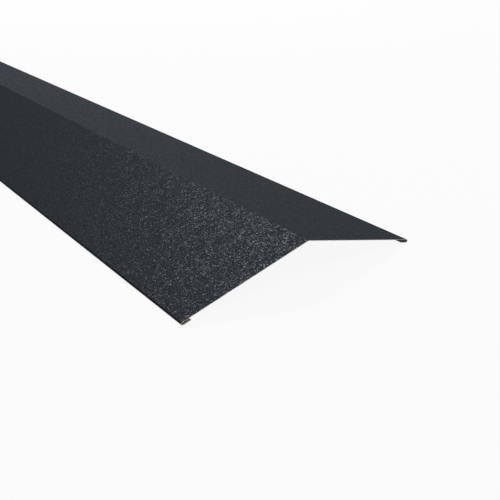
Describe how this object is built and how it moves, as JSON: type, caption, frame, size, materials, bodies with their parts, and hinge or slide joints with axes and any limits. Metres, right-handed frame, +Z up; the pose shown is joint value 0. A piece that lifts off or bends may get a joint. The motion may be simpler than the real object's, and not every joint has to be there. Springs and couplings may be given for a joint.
{
  "type": "roof ridge cap",
  "caption": "Folded sheet-steel ridge cap with equal sloping wings and open hems turned under along the outer edges; covers the joint where roof slopes meet.",
  "frame": {"origin": "under the ridge line, midway along the cap, on the level plane that both hems stand on", "axes": "+X across the ridge, +Y along it, +Z up"},
  "size_m": [0.2794, 2, 0.0405],
  "materials": {
    "coated_sheet": "matt grained coil coating in anthracite grey on the outside, beige-grey backing lacquer on the inside"
  },
  "bodies": {
    "root": {"ridge_cap": "coated_sheet"}
  },
  "joints": []
}
